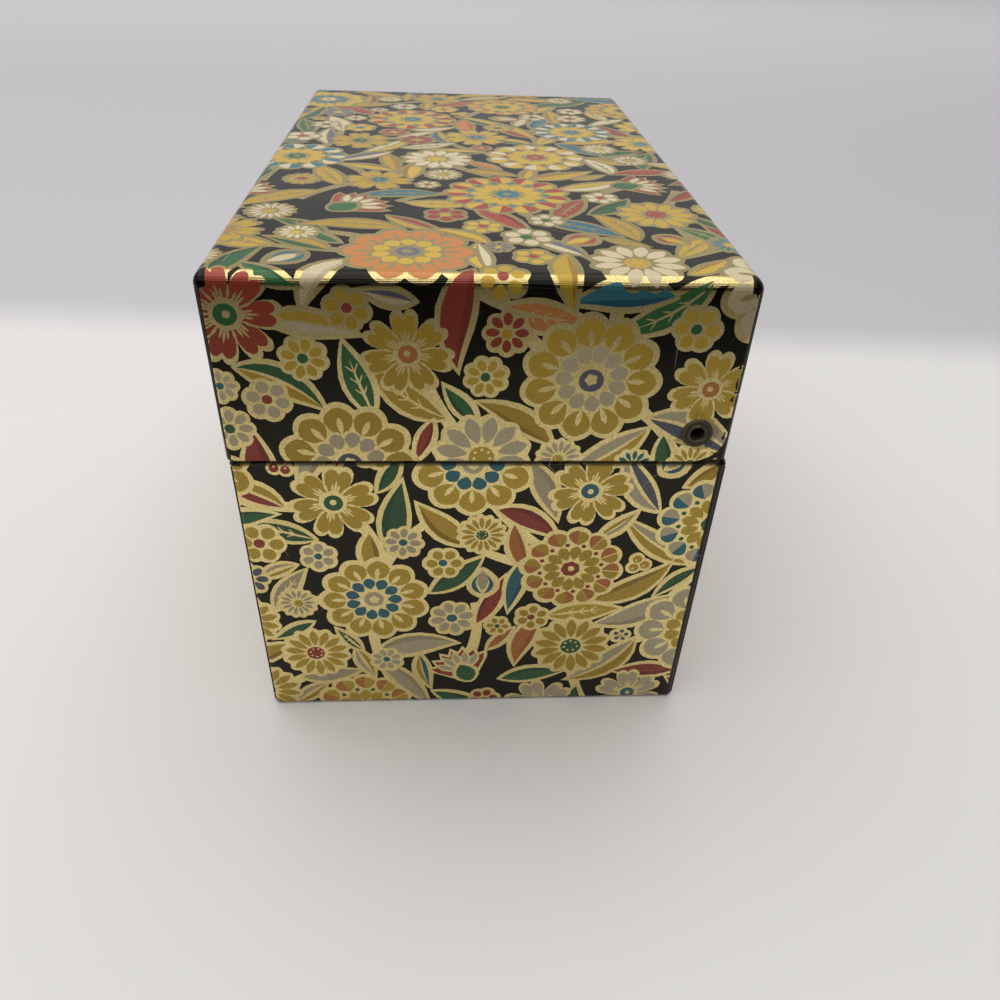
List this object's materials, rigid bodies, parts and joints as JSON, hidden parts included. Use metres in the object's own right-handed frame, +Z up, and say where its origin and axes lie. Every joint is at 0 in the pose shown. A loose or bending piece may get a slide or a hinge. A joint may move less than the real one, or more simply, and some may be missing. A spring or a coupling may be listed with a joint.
{
  "type": "recipe card box",
  "caption": "Hinged tinplate box for standing index cards, with a deep lid over a set-in neck and an eyelet hinge in each end.",
  "frame": {"origin": "on the surface that the closed box stands on, under the middle of the box", "axes": "+X along the box towards its right end, +Y towards the hinge side, +Z up"},
  "size_m": [0.1376, 0.0842, 0.0925],
  "materials": {
    "base_print": "printed, clear lacquer",
    "lid_print": "printed, clear lacquer",
    "eyelet": "dark, worn"
  },
  "bodies": {
    "base": {"base_shell": "base_print", "hinge_eyelet_right": "eyelet", "hinge_eyelet_left": "eyelet"},
    "lid": {"lid_shell": "lid_print"}
  },
  "joints": [
    {"name": "lid_hinge", "type": "hinge", "parent": "base", "child": "lid", "pos_m": [0, 0.03542, 0.0662], "axis": [-1, 0, 0], "range_deg": [0, 95]}
  ]
}
